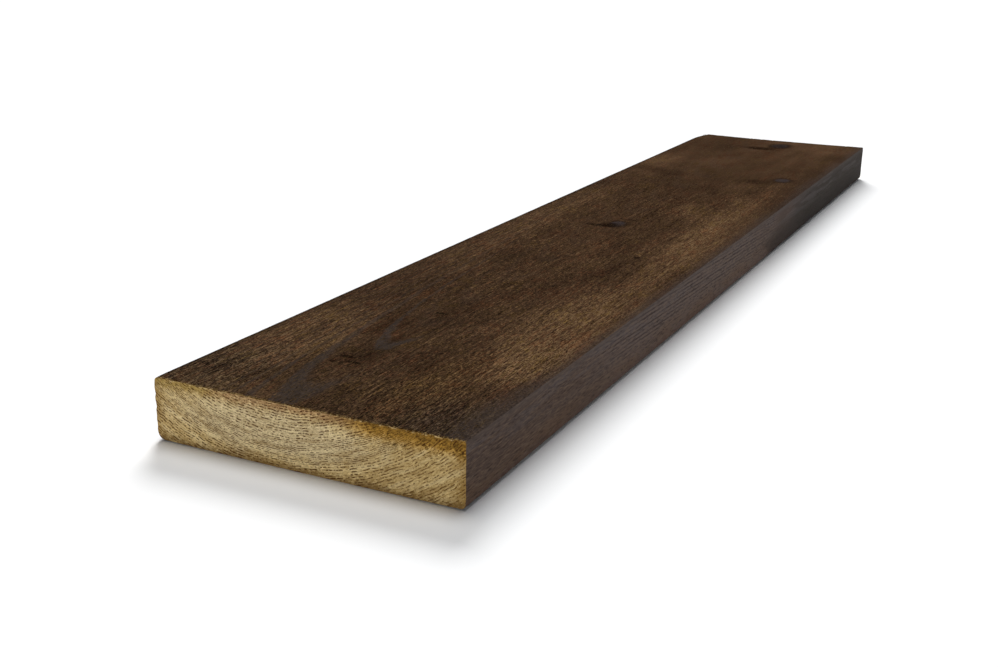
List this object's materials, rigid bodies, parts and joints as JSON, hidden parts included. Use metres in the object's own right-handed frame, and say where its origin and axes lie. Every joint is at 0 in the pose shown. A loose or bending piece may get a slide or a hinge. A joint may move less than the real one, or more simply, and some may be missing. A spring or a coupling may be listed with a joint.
{
  "type": "pine cladding board",
  "caption": "Square-edged pine cladding board: a rough fine-sawn face, planed back and edges, rounded arrises and square-cut ends. It is fixed to battens as a wall's outer skin.",
  "frame": {"origin": "middle of the planed back, which lies on the floor", "axes": "+Y along the board, with the end that the picture shows facing -Y; +X across it; +Z out of the sawn face"},
  "size_m": [0.145, 0.74, 0.028],
  "materials": {
    "stained_pine": "dark brown stain, rough and fibrous on the sawn face, smooth on the planed back and edges; the cut ends are bare pale pine"
  },
  "bodies": {
    "root": {"board": "stained_pine"}
  },
  "joints": []
}
